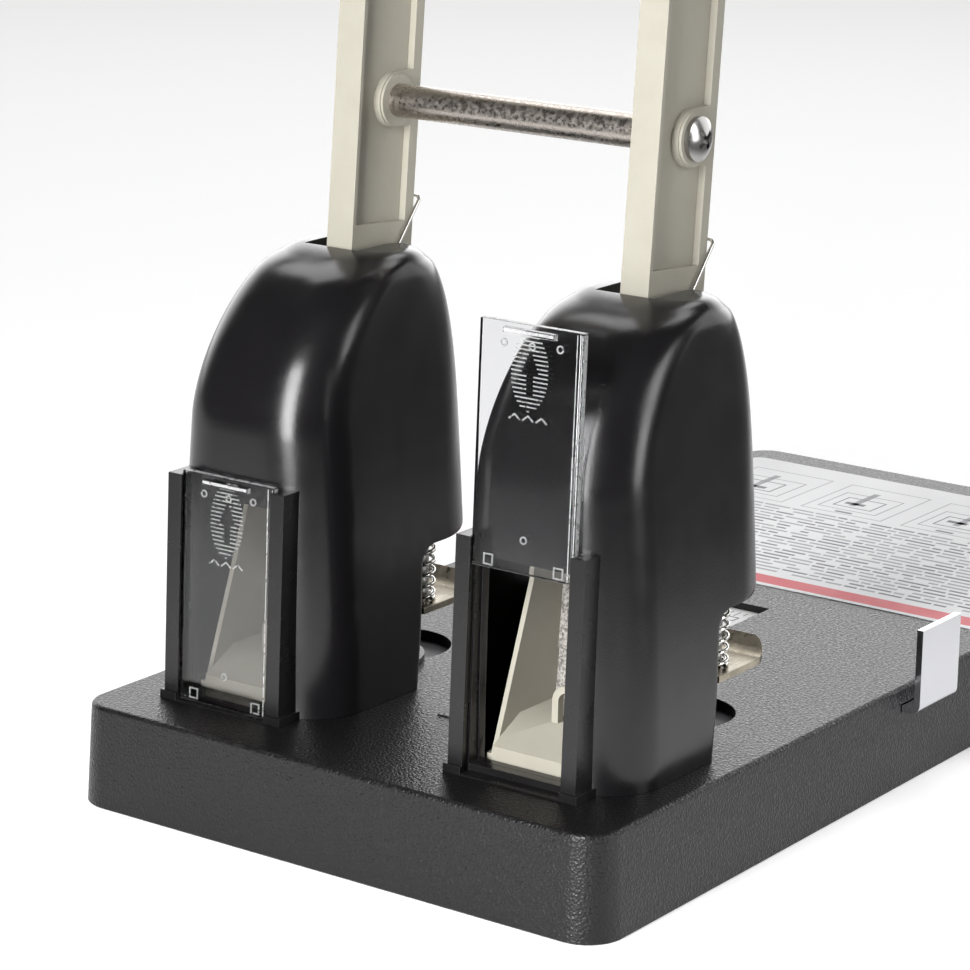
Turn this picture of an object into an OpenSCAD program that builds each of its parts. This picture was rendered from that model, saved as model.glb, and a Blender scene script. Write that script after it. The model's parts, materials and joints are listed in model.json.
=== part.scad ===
// Heavy-duty two-hole punch: two towers on one base, worked by one long fork lever.
// Origin: centre of the base's footprint on the table. +X to the right along the two towers,
// +Y to the rear over the paper bed, +Z up. The lever is up and the right chip window is open.

/* [Base] */
// Width of the base across the two towers
base_w = 145; // [140:1:156]
// Length of the base from the front skirt to the rear skirt
base_l = 297; // [288:1:310]
// Height of the base's top above the table
base_h = 23.8; // [23.4:0.2:24.6]
// Plan radius of the base's corners
base_corner = 9; // [8:1:16]
// How far the skirt leans in from its foot to its top
base_draft = 1.2; // [0.6:0.2:2]
// Thickness of the base's skirt and top
base_wall = 2.5; // [2.2:0.1:2.8]

/* [Punching] */
// Distance between the two punched holes
hole_pitch = 80; // [78:1:83]
// Distance of the punched holes in front of the base's centre
punch_back = -81; // [-82:0.5:-80]
// Outer radius of the hollow punch bit
bit_r = 3; // [2.75:0.05:3]
// How far the rams come down
ram_travel = 20; // [19:0.5:20]
// Height of the presser plate's underside above the table
presser_z = 40.5; // [40:0.5:41.5]

/* [Towers] */
// Width of a tower's cover at its foot
tower_w = 48; // [47:0.5:50]
// Height of a tower's top above the table
tower_top = 124; // [122.4:0.2:125]
// Wall thickness of a tower's cover
tower_wall = 2.2; // [1.8:0.1:2.4]
// Height of the underside of a tower's overhang above the table
overhang_z = 57; // [56:0.5:58]
// Width of the slot that the lever swings in
slot_w = 15.1; // [14.6:0.1:15.6]

/* [Lever] */
// Thickness of a lever arm
arm_t = 7.2; // [6.8:0.1:7.4]
// Depth of a lever arm, front to rear
arm_d = 22.4; // [21.5:0.1:22.6]
// Backward lean of the arms at rest, in degrees
arm_lean = 4.6; // [4:0.1:5]
// Height of the handle bar's axis above the table
handle_z = 322; // [290:1:340]
// Height of the cross rod's axis above the table
rod_z = 156; // [152:1:170]
// Radius of the pivot shafts
pivot_r = 3.5; // [3:0.1:3.6]

/* [Chip windows] */
// Width of a sliding chip window
window_w = 26.2; // [25:0.2:26.6]
// Height of a sliding chip window
window_h = 53; // [50:0.2:53.4]
// Thickness of a sliding chip window
window_t = 1.6; // [1.4:0.1:1.8]
// Height by which the right window stands open
window_open = 46; // [0:1:46]

/* [Hidden] */
$fn = 48;
hull_fn = 32;
tiny = 0.01;

// Towers: the two stand at plus and minus tower_x
tower_x = hole_pitch / 2;
body_rear = -91;           // foot of the lower tower's rear wall, which the paper's edge meets
body_lean = 0.085;         // that wall leans back by this much for each mm of height
tower_front = -127.8;      // front of the cover up to front_start
front_top = -95.5;         // front of the cover at its top
front_start = 88.3;        // height at which the front starts to curve back
rear_foot = -62.6;         // rear of the overhang
rear_top = -81;            // rear of the cover at its top
rear_start = 77.2;         // height at which the rear starts to curve forward
side_start = 36.4;         // height at which the sides start to lean in
side_top = 17.2;           // half width of the cover at its top
front_corner = 14;
rear_corner = 17.4;
top_round = 3;
slot_middle = -1.9;        // the slot reaches further to the left of the arm than to its right
slot_front = -92.4;
cove_r = 4.5;              // fillet between the lower tower and the overhang
window_lean = 2.3;         // backward lean of the chip window and its frame, degrees
window_middle = -1.1;      // the window sits a little left of the tower's middle

// Lever linkage in the YZ plane
pivot = [-95, 88];
yoke_reach = ram_travel / 2 / sin(40);       // distance of the drive pin from the pivot
yoke = pivot + yoke_reach * [cos(40), sin(40)];
drive_pin_r = 2.5;
hub_r = 6;
bore_gap = 0.05;           // radial running clearance
arm_foot_z = 96;           // height at which the arm's straight sides end
rod_y = -75.5;
rod_r = 3.8;
boss_r = 6.4;

// Ram and frame, half sizes across X
ram_half = 8.6;
ear_inner = 5.2;
guide_half = 8.9;          // inner faces of the frame's guide pads
cheek_inner = 11.4;
cheek_outer = 14;
cheek_edge = 1.2;          // the cheeks are thinner along their front edge
ram_front = -89;
ram_rear = -73.5;
spring_x = 16.8;
spring_y = -82.9;
spring_coil_r = 3.5;
spring_wire_r = 0.5;
guide_pin_r = 2.3;
bar_z = 62;                // underside of the ram's crossbar
bar_t = 5;
presser_t = 1.5;
disc_top = base_h + 1.3;
disc_r = 13.8;
recess_r = 12.5;
recess_y = -68;
plate_z = base_h - base_wall;   // top of the steel plate under the base's top
plate_t = 3.5;

// Paper guide
guide_y = [-22.2, -4.2];
guide_z = 18;
guide_t = 1.6;
guide_face_x = 76.3;
guide_top_z = 38.5;
strip_z = 20.2;             // underside of the scale plate
strip_t = 1.8;
bar_start = -66;            // inner end of the paper guide's bar
scale_x = 15;
scale_y = [-8, 11.7];

black = "#1d1b1e";
cream = "#dedbcf";
steel = "#9b9994";

// ---- shared shapes ----

// Places children at the left (-1) or right (+1) tower
module at_tower(side) { translate([side * tower_x, 0, 0]) children(); }

// Extrudes a YZ outline along X from x0 to x1
module slab_x(x0, x1) {
    translate([x0, 0, 0]) rotate([90, 0, 90]) linear_extrude(x1 - x0) children();
}

module rounded_plate(w, l, r, h) {
    linear_extrude(h) offset(r) square([w - 2 * r, l - 2 * r], center = true);
}

module rod_x(r, x0, x1, y, z) {
    translate([x0, y, z]) rotate([0, 90, 0]) cylinder(r = r, h = x1 - x0);
}

// A closed body skinned over a stack of rings with equal numbers of points
module loft(rings) {
    n = len(rings[0]);
    last = len(rings) - 1;
    sides = [for (i = [0 : last - 1], j = [0 : n - 1], half = [0, 1])
        let (a = i * n + j, b = i * n + (j + 1) % n)
        half == 0 ? [a, b + n, b] : [a, a + n, b + n]];
    polyhedron(
        points = [for (ring = rings, p = ring) p],
        faces = concat(sides, [[for (j = [0 : n - 1]) j]], [[for (j = [n - 1 : -1 : 0]) last * n + j]]),
        convexity = 6
    );
}

// Round wire swept along points; ref is a direction the wire never takes
module wire(points, r, ref, sides = 6) {
    last = len(points) - 1;
    loft([for (i = [0 : last])
        let (along = points[min(i + 1, last)] - points[max(i - 1, 0)],
             across = cross(along, ref), u = across / norm(across),
             up = cross(along, u), v = up / norm(up))
        [for (k = [0 : sides - 1]) points[i] + r * (cos(k * 360 / sides) * u - sin(k * 360 / sides) * v)]]);
}

// ---- tower cover surface ----

function rise(z, start) = min(1, max(0, (z - start) / (tower_top - start)));
function roll(s, power) = pow(1 - pow(s, power), 1 / power);
function tower_half(z) = side_top + (tower_w / 2 - side_top) * roll(rise(z, side_start), 1.22);
function tower_front_y(z) = front_top + (tower_front - front_top) * roll(rise(z, front_start), 1.72);
function tower_rear_y(z) = rear_top + (rear_foot - rear_top) * roll(rise(z, rear_start), 3.35);
function top_inset(z) = top_round - sqrt(max(0, pow(top_round, 2) - pow(max(0, z - tower_top + top_round), 2)));
function corner_arc(cx, cy, r, from, z) =
    [for (k = [0 : 6]) [cx + r * cos(from + k * 15), cy + r * sin(from + k * 15), z]];
// A rectangle in plan with separately rounded front and rear corners
function ring(half, front, rear, front_r, rear_r, z) =
    let (limit = min(half, (rear - front) / 2) - tiny, f = min(front_r, limit), r = min(rear_r, limit))
    concat(corner_arc(half - f, front + f, f, -90, z), corner_arc(half - r, rear - r, r, 0, z),
           corner_arc(r - half, rear - r, r, 90, z), corner_arc(f - half, front + f, f, 180, z));
function upper_ring(z, inset, drop) =
    let (e = inset + top_inset(z))
    ring(tower_half(z) - e, tower_front_y(z) + e, tower_rear_y(z) - e, front_corner - inset,
         rear_corner - inset, z - drop);
function cove_y(z) =
    body_rear + body_lean * (z - base_h)
    + cove_r - sqrt(max(0, pow(cove_r, 2) - pow(max(0, z - overhang_z + cove_r), 2)));
function lower_ring(z, inset) =
    ring(tower_half(z) - inset, tower_front + inset, cove_y(z) - inset, front_corner - inset, 2.5, z);

upper_steps = 14;
module tower_solid(inset, foot_z) {
    tall = tower_top - overhang_z;
    loft([for (i = [0 : upper_steps])
        let (s = sin(90 * i / upper_steps), z = overhang_z + tall * s)
        upper_ring(min(z, tower_top), inset, inset * s)]);
    lower = [foot_z, side_start, overhang_z - cove_r, for (k = [1 : 4]) overhang_z - cove_r * cos(22.5 * k) ];
    loft([for (z = concat(lower, [overhang_z + 1])) lower_ring(z, inset)]);
}

// ---- base ----

module base_shell(inset, z0, z1) {
    hull() {
        translate([0, 0, z0])
            rounded_plate(base_w - 2 * inset, base_l - 2 * inset, base_corner - inset, tiny);
        translate([0, 0, z1 - 1.4])
            rounded_plate(base_w - 2 * (inset + base_draft), base_l - 2 * (inset + base_draft),
                base_corner - inset - base_draft, tiny);
        translate([0, 0, z1 - 0.4])
            rounded_plate(base_w - 2 * (inset + base_draft + 0.4), base_l - 2 * (inset + base_draft + 0.4),
                base_corner - inset - base_draft - 0.4, tiny);
        translate([0, 0, z1 - tiny])
            rounded_plate(base_w - 2 * (inset + base_draft + 1.4), base_l - 2 * (inset + base_draft + 1.4),
                base_corner - inset - base_draft - 1.4, tiny);
    }
}

screw_x = 60;
screw_y = 134;
module at_base_screws() {
    for (sx = [-1, 1], sy = [-1, 1]) translate([sx * screw_x, sy * screw_y, 0]) children();
}

module base_housing() {
    color(black) difference() {
        union() {
            difference() {
                base_shell(0, 0, base_h);
                base_shell(base_wall, -1, base_h - base_wall);
            }
            // ribs that guide the paper guide's bar
            for (y = [guide_y[0] - 2.2, guide_y[1] + 0.2]) translate([-66, y, guide_z - 0.2])
                cube([136, 2, plate_z - guide_z + 0.3]);
            at_base_screws() translate([0, 0, 6]) cylinder(r = 4, h = base_h - base_wall - 6 + tiny);
        }
        at_base_screws() translate([0, 0, 4]) cylinder(r = 1.3, h = 12);
        // pocket for the scale plate under the scale window
        translate([-scale_x - 3.5, scale_y[0] - 3.5, strip_z])
            cube([2 * scale_x + 7, scale_y[1] - scale_y[0] + 7, strip_t + 0.1]);
        // seats of the cutting discs and the finger recess behind each
        for (side = [-1, 1]) at_tower(side) {
            translate([0, punch_back, base_h - base_wall - 1]) cylinder(r = disc_r + 0.1, h = 6);
            translate([0, recess_y, base_h - base_wall - 1]) cylinder(r = recess_r, h = 6);
            // clearance holes for the frame's bolts
            for (y = [-119, -105]) translate([0, y, base_h - base_wall - 1]) cylinder(r = 2.2, h = 6);
        }
        // scale window in the top
        translate([-scale_x, scale_y[0], base_h - 4]) cube([2 * scale_x, scale_y[1] - scale_y[0], 6]);
        // slot of the paper guide in the right skirt
        translate([base_w / 2 - 6, guide_y[0] - 0.3, guide_z - 0.2])
            cube([10, guide_y[1] - guide_y[0] + 0.6, guide_t + 0.4]);
    }
}

module bottom_cover() {
    foot = base_wall + 0.4;
    color("#262427") difference() {
        union() {
            rounded_plate(base_w - 2 * foot, base_l - 2 * foot, base_corner - foot, 2);
            translate([0, 0, 2 - tiny]) difference() {
                rounded_plate(base_w - 2 * foot - 1, base_l - 2 * foot - 1, base_corner - foot - 0.5, 3);
                translate([0, 0, -1])
                    rounded_plate(base_w - 2 * foot - 4, base_l - 2 * foot - 4, base_corner - foot - 2, 6);
            }
            at_base_screws() cylinder(r = 4, h = 6);
        }
        at_base_screws() translate([0, 0, -1]) cylinder(r = 1.6, h = 8);
        at_base_screws() translate([0, 0, -1]) cylinder(r = 3, h = 2.6);
    }
}

module base_plate() {
    color(steel) difference() {
        translate([0, -97, plate_z - plate_t]) rounded_plate(base_w - 14, 86, 6, plate_t);
        for (side = [-1, 1], y = [-119, -105])
            translate([side * tower_x, y, plate_z - plate_t - 1]) cylinder(r = 2, h = plate_t + 2);
        at_base_screws() cylinder(r = 4.3, h = base_h);
    }
}

module base_screws() {
    color(steel) at_base_screws() translate([0, 0, 0.4]) {
        cylinder(r = 2.8, h = 1.2);
        cylinder(r = 1.3, h = 12);
    }
}

module instruction_label() {
    color("white") translate([0, 82.5, base_h]) rounded_plate(131.4, 109, 3, 0.15);
}

module cutting_disc(side) {
    color("#77757c") at_tower(side) translate([0, punch_back, plate_z])
        difference() {
            cylinder(r = disc_r, h = disc_top - plate_z);
            // flat in front, where the tower's rear wall stands
            translate([-disc_r, -disc_r - 1, base_h - plate_z]) cube([2 * disc_r, disc_r + 1 - 9.7, 4]);
        }
}

// ---- frames that carry the mechanism ----

cheek_front = [[-124, base_h + 2.7], [-111, 62], [-103, 88]];
module cheek_outline() {
    difference() {
        union() {
            polygon(concat(cheek_front, [[-101, 102], [-96, 105], [-76, 105], [-76, 68.5], [-95.2, 68.5],
                [-95.2, base_h], [-124, base_h]]));
            translate(pivot) circle(r = 8.4);
        }
        translate([-90.6, 50]) square([30, 18.5]);
    }
}

module frame(side) {
    color(cream) at_tower(side) difference() {
        union() {
            for (s = [-1, 1]) scale([s, 1, 1]) {
                slab_x(cheek_inner, cheek_inner + cheek_edge) cheek_outline();
                slab_x(cheek_inner, cheek_outer) intersection() {
                    cheek_outline();
                    polygon(concat([for (p = cheek_front) p + [6, 0]],
                        [[-97, 110], [-60, 110], [-60, base_h], [cheek_front[0][0] + 6, base_h]]));
                }
                // guide pads beside the ram, with lips in front of it and behind it
                slab_x(guide_half, cheek_inner + tiny)
                    polygon([[-100, 68.5], [-71.2, 68.5], [-71.2, 104], [-84, 104], [-100, 96]]);
                slab_x(ear_inner, guide_half + tiny) {
                    translate([-73.2, 68.5]) square([2, 35.5]);
                    translate([-92, 68.5]) square([2.7, 11.5]);
                }
            }
            // foot with its chip ramp
            translate([-cheek_outer, -123.8, base_h]) cube([2 * cheek_outer, 28.6, 2.7]);
            slab_x(-cheek_inner - tiny, cheek_inner + tiny)
                polygon([[-125.2, base_h], [-125.2, base_h + 5], [-115.2, 33.8], [-103, 33.8], [-103, base_h]]);
            // small arch over the mouth of the chip channel
            translate([1.5, -114.2, 33.7]) rotate([90, 0, 0]) linear_extrude(2) difference() {
                union() {
                    translate([-3.8, 0]) square([7.6, 5]);
                    translate([0, 5]) circle(r = 3.8);
                }
                translate([-2.2, -1]) square([4.4, 6]);
                translate([0, 5]) circle(r = 2.2);
            }
        }
        rod_x(pivot_r, -20, 20, pivot[0], pivot[1]);
        for (y = [-119, -105]) translate([0, y, base_h - 1]) cylinder(r = 2, h = 6);
    }
}

module frame_column(side) {
    color("#8d8b88") at_tower(side) slab_x(-cheek_inner, cheek_inner)
        polygon([[-102.7, base_h + 2.7], [-100.7, 45], [-101.2, 45], [-99.2, 66], [-95.4, 66], [-95.4, base_h + 2.7]]);
}

module frame_bolts() {
    color(steel) for (side = [-1, 1], y = [-119, -105]) translate([side * tower_x, y, 0]) {
        translate([0, 0, plate_z - plate_t - 3]) cylinder(r = 3.6, h = 3);
        translate([0, 0, plate_z - plate_t - tiny]) cylinder(r = 2, h = base_h + 4 - plate_z + plate_t);
    }
}

module pivot_shaft(side) {
    color(steel) at_tower(side) difference() {
        rod_x(pivot_r, -cheek_outer - 2, cheek_outer + 2, pivot[0], pivot[1]);
        for (s = [-1, 1]) translate([s * (cheek_outer + 0.9), pivot[0], pivot[1]]) rotate([0, 90, 0])
            difference() {
                cylinder(r = 5, h = 0.8, center = true);
                cylinder(r = pivot_r - 0.6, h = 2, center = true);
            }
    }
}

module pivot_clips() {
    color("#4b4a4d") for (side = [-1, 1], s = [-1, 1])
        translate([side * tower_x + s * (cheek_outer + 0.9), pivot[0], pivot[1]]) rotate([0, 90, 0])
            difference() {
                cylinder(r = pivot_r + 2, h = 0.8, center = true);
                cylinder(r = pivot_r - 0.6, h = 2, center = true);
                translate([-1.6, 0, -1]) cube([3.2, 8, 2]);
            }
}

// ---- tower covers and their chip windows ----

module tower_cover(side) {
    color(black) at_tower(side) difference() {
        tower_solid(0, base_h);
        tower_solid(tower_wall, base_h - 1);
        // slot for the lever, open to the rear
        translate([slot_middle - slot_w / 2, slot_front, 64]) cube([slot_w, 50, 80]);
        // the cove runs along the side walls only, clear of the springs and of the ram at the end of its stroke
        translate([-21.7, ram_front - 0.4, bar_z - ram_travel - 1.5])
            cube([43.4, 9, overhang_z + 2 + ram_travel - bar_z]);
        // relief round the presser springs
        for (s = [-1, 1]) translate([s * spring_x, spring_y, overhang_z - 1])
            cylinder(r = spring_coil_r + spring_wire_r + 0.4, h = bar_z + 1 - overhang_z);
        // chip opening behind the window
        translate([window_middle - 12.4, -135, base_h + 2]) cube([24.8, 16, 46.2]);
    }
}

frame_half = 16.6;
lip_half = 12.8;
function face_y(z) = -133 + (z - base_h) * tan(window_lean);
frame_top = 76.5;
groove_front = 0.7;
module leaning(depth0, depth1, z0, z1) {
    polygon([[face_y(z0) + depth0, z0], [face_y(z1) + depth0, z1], [face_y(z1) + depth1, z1],
        [face_y(z0) + depth1, z0]]);
}

module guide_frame(side) {
    color(black) at_tower(side) difference() {
        translate([window_middle, 0, 0]) union() {
            for (s = [-1, 1]) scale([s, 1, 1]) {
                slab_x(lip_half, frame_half) leaning(0, 9, base_h, frame_top);
                slab_x(lip_half, frame_half + 0.8) leaning(-0.6, 9, base_h, base_h + 2);
            }
            // sill under the window
            slab_x(-lip_half, lip_half) leaning(2.8, 7, base_h, base_h + 2);
            slab_x(-lip_half, lip_half) leaning(-0.6, 2.9, base_h, base_h + 0.5);
        }
        slab_x(window_middle - window_w / 2 - 0.2, window_middle + window_w / 2 + 0.2)
            leaning(groove_front, groove_front + window_t + 0.3, base_h + 0.5, frame_top + 1);
        tower_solid(0, base_h - 1);
    }
}

module chip_window(side) {
    lift = side > 0 ? window_open : 0;
    shift = [window_middle, lift * sin(window_lean), lift * cos(window_lean)];
    front = groove_front + 0.15;
    z0 = base_h + 0.6;
    color([0.85, 0.87, 0.9, 0.4]) at_tower(side) translate(shift) union() {
        slab_x(-window_w / 2, window_w / 2) leaning(front, front + window_t, z0, z0 + window_h);
        // finger lip along the top edge
        slab_x(-6.5, 6.5) leaning(front - 1.2, front + tiny, z0 + window_h - 2.2, z0 + window_h - 0.8);
    }
}

// ---- lever ----

lean_dir = [sin(arm_lean), cos(arm_lean)];
rear_dir = [cos(arm_lean), -sin(arm_lean)];
arm_front_foot = [-91.7, 126] - lean_dir * (126 - arm_foot_z) / cos(arm_lean);
arm_len = (handle_z - arm_foot_z) / cos(arm_lean);
handle_axis = arm_front_foot + lean_dir * arm_len + rear_dir * arm_d / 2;

module arm_outline() {
    hull() {
        translate(arm_front_foot + rear_dir * arm_d / 2 + lean_dir * arm_d / 2) square(tiny);
        translate(handle_axis) circle(r = arm_d / 2);
        translate(arm_front_foot + rear_dir * 2) circle(r = 2, $fn = hull_fn);
        translate(arm_front_foot + rear_dir * (arm_d - 2) + lean_dir * 4) circle(r = 2, $fn = hull_fn);
    }
    hull() {
        translate(pivot) circle(r = hub_r);
        translate(yoke) circle(r = 5);
        translate(arm_front_foot + rear_dir * 2 + lean_dir * 4) circle(r = 2, $fn = hull_fn);
        translate(arm_front_foot + rear_dir * (arm_d - 3) + lean_dir * 4) circle(r = 2, $fn = hull_fn);
    }
}

web_depth = 1.7;
web_foot = 34;
module arm_pocket() {
    rod_at = (rod_z - arm_foot_z) / cos(arm_lean);
    difference() {
        hull() for (a = [web_foot, arm_len - 16], d = [1.6, arm_d - 3.6])
            translate(arm_front_foot + lean_dir * a + rear_dir * d) circle(r = 0.6, $fn = hull_fn);
        translate([rod_y, rod_z]) circle(r = boss_r);
        translate([rod_y, rod_z - boss_r]) square([20, 2 * boss_r]);
    }
}

module lever_arm(side) {
    color(cream) at_tower(side) difference() {
        union() {
            slab_x(-arm_t / 2, arm_t / 2) arm_outline();
            rod_x(boss_r - 0.4, -arm_t / 2 - 0.6, arm_t / 2 + 0.6, rod_y, rod_z);
        }
        slab_x(arm_t / 2 - web_depth, arm_t) arm_pocket();
        slab_x(-arm_t, web_depth - arm_t / 2) arm_pocket();
        rod_x(pivot_r + bore_gap, -10, 10, pivot[0], pivot[1]);
        rod_x(drive_pin_r, -10, 10, yoke[0], yoke[1]);
        rod_x(2.6, -10, 10, rod_y, rod_z);
        rod_x(3.1, -10, 10, handle_axis[0], handle_axis[1]);
    }
}

inner_x = tower_x - arm_t / 2;
module cross_rod() {
    color(steel) difference() {
        rod_x(rod_r, -inner_x + 0.6, inner_x - 0.6, rod_y, rod_z);
        for (s = [-1, 1]) scale([s, 1, 1]) rod_x(2.6, inner_x - 14, inner_x + 1, rod_y, rod_z);
    }
}

// Pan-head screws with a cross slot, one at each end of a bar, pointing inwards
module end_screws(y, z, shank_r, head_r, seat, reach) {
    color(steel) for (s = [-1, 1]) scale([s, 1, 1]) difference() {
        union() {
            rod_x(shank_r, inner_x - reach, seat, y, z);
            translate([seat, y, z]) rotate([0, 90, 0]) intersection() {
                cylinder(r = head_r, h = 2.6);
                translate([0, 0, -6.2]) sphere(r = 8.8);
            }
        }
        for (turn = [0, 90]) translate([seat + 3, y, z]) rotate([turn + 35, 0, 0])
            cube([2.6, 1.1, 5], center = true);
    }
}

module rod_screws() { end_screws(rod_y, rod_z, 2.6, 4.9, tower_x + arm_t / 2 + 0.6, 13); }

bar_r = 7;
module handle_bar() {
    color(steel) difference() {
        rod_x(bar_r, -inner_x, inner_x, handle_axis[0], handle_axis[1]);
        for (s = [-1, 1]) scale([s, 1, 1])
            rod_x(3.1, inner_x - 16, inner_x + 1, handle_axis[0], handle_axis[1]);
    }
}

module handle_grip() {
    grip_half = inner_x - 2;
    color("#222124") translate([-grip_half, handle_axis[0], handle_axis[1]]) rotate([0, 90, 0])
        rotate_extrude() polygon(concat(
            [[bar_r, 0], [12, 0]],
            [for (k = [0 : 12]) [12 + 2.2 * sin(k * 15), 1 + k * (2 * grip_half - 2) / 12]],
            [[12, 2 * grip_half], [bar_r, 2 * grip_half]]));
}

module handle_screws() { end_screws(handle_axis[0], handle_axis[1], 3.1, 5.4, tower_x + arm_t / 2, 15); }

module drive_pin(side) {
    color(steel) at_tower(side) rod_x(drive_pin_r, 0.2 - ram_half, ram_half - 0.2, yoke[0], yoke[1]);
}

leg_x = 4.45;
leg_wire_r = 0.45;
coil_r = 4.6;
leg_knee = [-90.3, 105.5];
leg_tip = [-67.4, 133.2];
module torsion_spring(side) {
    turns = 4;
    steps = turns * 10;
    coil = [for (i = [0 : steps])
        [leg_x + (steps - i) * 0.98 / 10, pivot[0] + coil_r * cos(i * 36), pivot[1] + coil_r * sin(i * 36)]];
    leg = [[leg_x, pivot[0] + coil_r + 0.1, pivot[1] + 4], [leg_x, leg_knee[0], leg_knee[1] - 1],
        [leg_x, leg_knee[0] + 1, leg_knee[1] + 1.2], [leg_x, leg_tip[0], leg_tip[1]]];
    color("#a9a6a0") at_tower(side) {
        wire(concat(coil, leg), leg_wire_r, [1, 0, 0]);
        // hook behind the arm
        wire([for (x = [leg_x + 0.3, 0, -arm_t / 2]) [x, leg_tip[0] - 0.15, leg_tip[1] - 0.2]],
            leg_wire_r, [0, 0, 1]);
    }
}

// ---- rams and punch bits ----

throat_z = yoke[1] - 14;
module ram(side) {
    yoke_slot = [10.4, 6.2];
    color("#8f8d88") at_tower(side) difference() {
        union() {
            slab_x(-ram_half, ram_half)
                polygon([[ram_front, bar_z], [ram_rear, bar_z], [ram_rear, yoke[1] + 6], [ram_front, yoke[1] + 6]]);
            // crossbar over the presser springs
            translate([-19.8, -88.6, bar_z]) cube([39.6, 10.8, bar_t]);
            translate([0, punch_back, 54]) cylinder(r = 5.4, h = 9);
        }
        slab_x(-ear_inner, ear_inner) translate([ram_front - 1, throat_z]) square([20, 40]);
        // the drive pin slides to and fro here as the lever turns
        slab_x(-ram_half - 1, ram_half + 1)
            translate([-86.1 - 0.25, yoke[1] - yoke_slot[1] / 2]) square(yoke_slot);
        translate([0, punch_back, 40]) cylinder(r = bit_r, h = 34);
        for (s = [-1, 1]) translate([s * spring_x, spring_y, bar_z - 1])
            cylinder(r = guide_pin_r + bore_gap, h = bar_t + 2);
        translate([0, punch_back, 57.5]) rotate([-90, 0, 0]) cylinder(r = 1.3, h = 8);
    }
}

module punch_bit(side) {
    tip_z = disc_top + 0.1 + ram_travel;
    color("#b9b8b6") at_tower(side) translate([0, punch_back, tip_z]) rotate_extrude()
        polygon([[bit_r - 0.15, 0], [bit_r, 0.6], [bit_r, 72 - tip_z], [1.9, 72 - tip_z], [1.9, 9], [2.3, 2]]);
}

module bit_screws(side) {
    color("#3a393b") at_tower(side) translate([0, punch_back, 57.5]) rotate([-90, 0, 0]) difference() {
        translate([0, 0, bit_r]) cylinder(r = 1.3, h = 5.2 - bit_r);
        translate([0, 0, 4.6]) cylinder(r = 0.7, h = 2, $fn = 6);
    }
}

// ---- pressers ----

presser_half = 22.7;
presser_front = -88.7;
module presser_plate(side) {
    bend_y = -72;
    color("#b5ad97") at_tower(side) difference() {
        intersection() {
            slab_x(-presser_half, presser_half) polygon([[presser_front, presser_z], [bend_y, presser_z],
                [bend_y + 2.5, presser_z + 0.8], [-66, presser_z + 3.4], [-66.5, presser_z + 4.7],
                [bend_y + 1.8, presser_z + 2.2], [bend_y - 0.4, presser_z + presser_t],
                [presser_front, presser_z + presser_t]]);
            translate([0, 0, presser_z - 1]) linear_extrude(10) hull() {
                translate([-presser_half, presser_front]) square([2 * presser_half, 2]);
                for (s = [-1, 1]) translate([s * (presser_half - 7), -73]) circle(r = 7, $fn = hull_fn);
            }
        }
        translate([0, punch_back, presser_z - 1]) cylinder(r = bit_r + 0.35, h = 4);
        for (s = [-1, 1]) translate([s * spring_x, spring_y, presser_z - 1])
            cylinder(r = guide_pin_r - 0.5, h = 4);
    }
}

module guide_pins(side) {
    color(steel) at_tower(side) for (s = [-1, 1]) translate([s * spring_x, spring_y, 0]) {
        translate([0, 0, presser_z]) cylinder(r = guide_pin_r - 0.5, h = presser_t + tiny);
        translate([0, 0, presser_z + presser_t]) cylinder(r = guide_pin_r, h = bar_z + bar_t + 7 - presser_z);
    }
}

module presser_springs(side) {
    free = bar_z - presser_z - presser_t - 2 * spring_wire_r - 0.1;
    turns = 8;
    steps = turns * 8;
    color("#c9c7c2") at_tower(side) for (s = [-1, 1])
        translate([s * spring_x, spring_y, presser_z + presser_t + spring_wire_r + 0.05])
            wire([for (i = [0 : steps])
                [spring_coil_r * cos(i * 45), spring_coil_r * sin(i * 45), free * i / steps]],
                spring_wire_r, [0, 0, 1]);
}

// ---- paper guide ----

module paper_guide() {
    bend = 2.4;
    color("#d8d9dc") difference() {
        translate([0, guide_y[1], 0]) rotate([90, 0, 0]) linear_extrude(guide_y[1] - guide_y[0]) union() {
            translate([bar_start, guide_z]) square([guide_face_x - bend - bar_start, guide_t]);
            translate([guide_face_x - guide_t, guide_z + bend]) square([guide_t, guide_top_z - guide_z - bend]);
            translate([guide_face_x - bend, guide_z + bend]) intersection() {
                difference() { circle(r = bend); circle(r = bend - guide_t); }
                translate([0, -bend]) square([bend, bend]);
            }
        }
        // notches that click under the keepers
        for (k = [0 : 4]) translate([-44 + 18 * k, (guide_y[0] + guide_y[1]) / 2, guide_z - 1]) cylinder(r = 1.2, h = 4);
    }
}

module scale_strip() {
    color("white") translate([-scale_x - 3, scale_y[0] - 3, strip_z])
        cube([2 * scale_x + 6, scale_y[1] - scale_y[0] + 6, strip_t]);
}

// Straps under the base's top that hold the paper guide's bar in its channel
module guide_keepers() {
    color(steel) for (x = [-34, 40]) translate([x, guide_y[0] - 3, guide_z - 1.4])
        cube([8, guide_y[1] - guide_y[0] + 6, 1.2]);
}

base_housing();
bottom_cover();
base_plate();
base_screws();
instruction_label();
cutting_disc(-1);  // cutting_disc_left
cutting_disc(1);  // cutting_disc_right
frame(-1);  // frame_left
frame(1);  // frame_right
frame_column(-1);  // frame_column_left
frame_column(1);  // frame_column_right
frame_bolts();
tower_cover(-1);  // tower_cover_left
tower_cover(1);  // tower_cover_right
guide_frame(-1);  // guide_frame_left
guide_frame(1);  // guide_frame_right
pivot_shaft(-1);  // pivot_shaft_left
pivot_shaft(1);  // pivot_shaft_right
pivot_clips();
chip_window(-1);  // chip_window_left
chip_window(1);  // chip_window_right
lever_arm(-1);  // lever_arm_left
lever_arm(1);  // lever_arm_right
cross_rod();
rod_screws();
handle_bar();
handle_grip();
handle_screws();
drive_pin(-1);  // drive_pin_left
drive_pin(1);  // drive_pin_right
torsion_spring(-1);  // torsion_spring_left
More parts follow.
